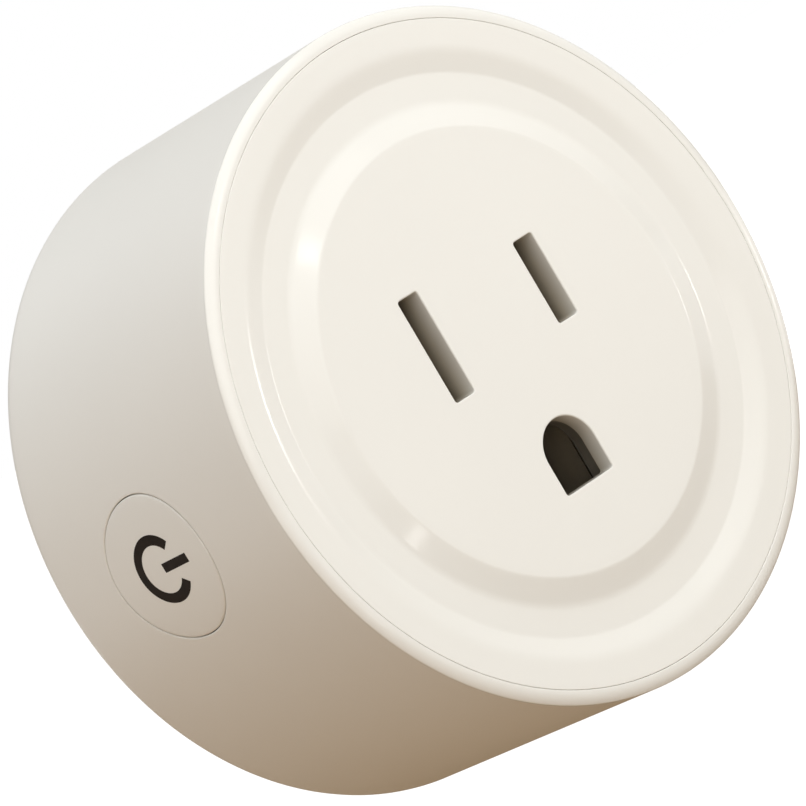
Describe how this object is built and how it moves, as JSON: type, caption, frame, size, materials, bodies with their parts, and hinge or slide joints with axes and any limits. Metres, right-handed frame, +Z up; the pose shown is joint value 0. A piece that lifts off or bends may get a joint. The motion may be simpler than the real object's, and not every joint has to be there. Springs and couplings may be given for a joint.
{
  "type": "smart plug",
  "caption": "Round smart plug adapter: a grounded socket face on a short drum body, a push button in its side, and flat blades with a ground pin at the back.",
  "frame": {"origin": "centre of the rear face, the face that meets the wall outlet", "axes": "+Y out of the rear face along the blades into the wall, +Z up with the ground hole below the slots, +X to the right of someone facing the socket face"},
  "size_m": [0.0544, 0.0485, 0.0544],
  "materials": {
    "shell": "fine satin moulded",
    "face": "polished moulded",
    "button": "fine satin moulded",
    "socket_plastic": "moulded",
    "blade_metal": "nickel plated",
    "contact_metal": "rolled",
    "inner_plastic": "moulded",
    "screw_steel": "zinc plated",
    "circuit_board": "solder mask over glass laminate",
    "dark_plastic": "moulded",
    "relay_plastic": "moulded",
    "shield_metal": "tinned sheet",
    "core_iron": "ground",
    "copper": "enamelled wire",
    "can_metal": "sleeved can",
    "film_plastic": "moulded box",
    "disc_ceramic": "dipped ceramic"
  },
  "bodies": {
    "plug_body": {"housing": "shell", "front_cover": "face", "contact_carrier": "socket_plastic", "carrier_lid": "socket_plastic", "line_contact": "contact_metal", "neutral_contact": "contact_metal", "ground_contact": "contact_metal", "ground_strap": "contact_metal", "line_blade": "blade_metal", "neutral_blade": "blade_metal", "ground_pin": "blade_metal", "blade_retainer": "inner_plastic", "retainer_screws": "screw_steel", "main_board": "circuit_board", "board_screws": "screw_steel", "switch_board": "circuit_board", "switch_base": "dark_plastic", "switch_cover": "shield_metal", "switch_dome": "shield_metal", "switch_pins": "contact_metal", "relay_case": "relay_plastic", "relay_base": "dark_plastic", "relay_yoke": "core_iron", "relay_coil": "copper", "relay_terminal": "contact_metal", "radio_board": "circuit_board", "radio_shield": "shield_metal", "radio_chip": "dark_plastic", "radio_pins": "contact_metal", "bulk_capacitor": "can_metal", "output_capacitor": "can_metal", "film_capacitor": "film_plastic", "varistor": "disc_ceramic", "fuse_resistor": "inner_plastic", "choke_core": "core_iron", "choke_winding": "copper", "bridge_rectifier": "dark_plastic", "power_controller": "dark_plastic"},
    "button": {"button_cap": "button"},
    "plunger": {"switch_plunger": "dark_plastic"},
    "armature": {"relay_armature": "core_iron"}
  },
  "joints": [
    {"name": "button_press", "type": "slide", "parent": "plug_body", "child": "button", "axis": [1, 0, 0], "range_m": [0, 0.0003], "stiffness_N_per_m": 400, "springref_m": -0.0005},
    {"name": "plunger_press", "type": "slide", "parent": "plug_body", "child": "plunger", "axis": [1, 0, 0], "range_m": [0, 0.0003]},
    {"name": "armature_pull", "type": "hinge", "parent": "plug_body", "child": "armature", "pos_m": [-0.0012, -0.0201, 0.01539], "axis": [0, 0, 1], "range_deg": [0, 3.5], "stiffness_Nm_per_rad": 0.004, "springref_deg": -5.73}
  ],
  "couplings": [
    {"joint": "plunger_press", "follows": "button_press", "ratio": 1}
  ]
}
